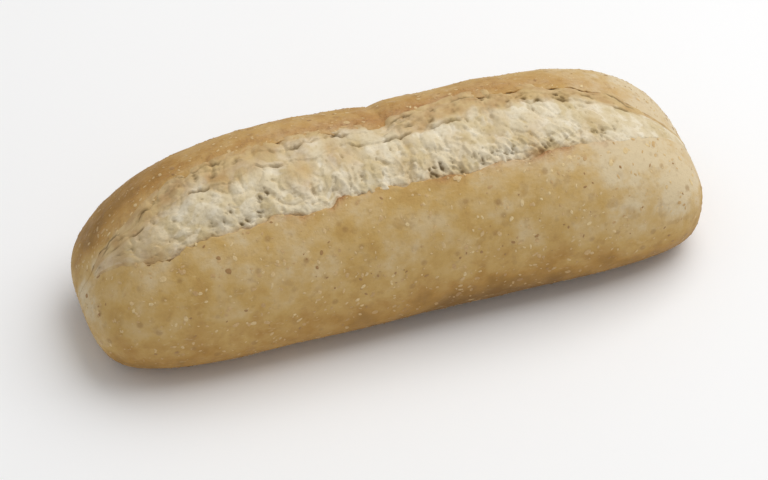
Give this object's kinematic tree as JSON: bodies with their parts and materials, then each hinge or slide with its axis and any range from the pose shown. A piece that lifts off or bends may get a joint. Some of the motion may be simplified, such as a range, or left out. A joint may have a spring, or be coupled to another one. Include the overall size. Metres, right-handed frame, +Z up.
{
  "type": "bread roll",
  "caption": "Oblong wheat-grain bread roll with a lengthwise split, tan crust with bran flecks, pale open crumb in the split and a flat base",
  "frame": {"origin": "on the flat base, under the middle of the roll's box", "axes": "+X along the roll to its blunter end, +Y to the side with the lifted rear lip, +Z up"},
  "size_m": [0.178, 0.0604, 0.0528],
  "materials": {
    "crust": "baked wheat crust, satin to matte, tan with darker mottling and bran flecks",
    "crumb": "torn porous bread crumb, matt, pale beige"
  },
  "bodies": {
    "root": {"bread_roll": "crust"}
  },
  "joints": []
}
